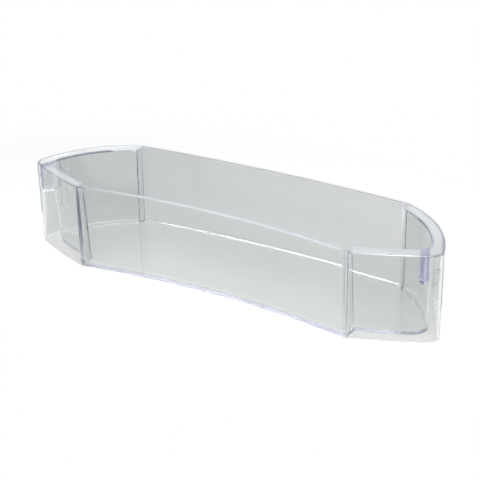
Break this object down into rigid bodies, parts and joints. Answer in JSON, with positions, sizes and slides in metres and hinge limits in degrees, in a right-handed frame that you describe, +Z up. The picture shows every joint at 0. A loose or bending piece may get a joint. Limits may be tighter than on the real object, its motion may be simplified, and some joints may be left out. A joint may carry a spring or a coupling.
{
  "type": "fridge door shelf",
  "caption": "Clear moulded open tray with a bowed front wall, a hollowed door-side wall and double-walled hooked ends that hang on a refrigerator door liner.",
  "frame": {"origin": "centre of the flat underside, in the plane that the shelf stands on", "axes": "+X along the shelf, +Y from the door side to the front wall that faces the room, +Z up"},
  "size_m": [0.4422, 0.1257, 0.086],
  "materials": {
    "clear_plastic": "clear polished polystyrene with a faint violet-grey tint at its edges"
  },
  "bodies": {
    "root": {"door_shelf": "clear_plastic"}
  },
  "joints": []
}
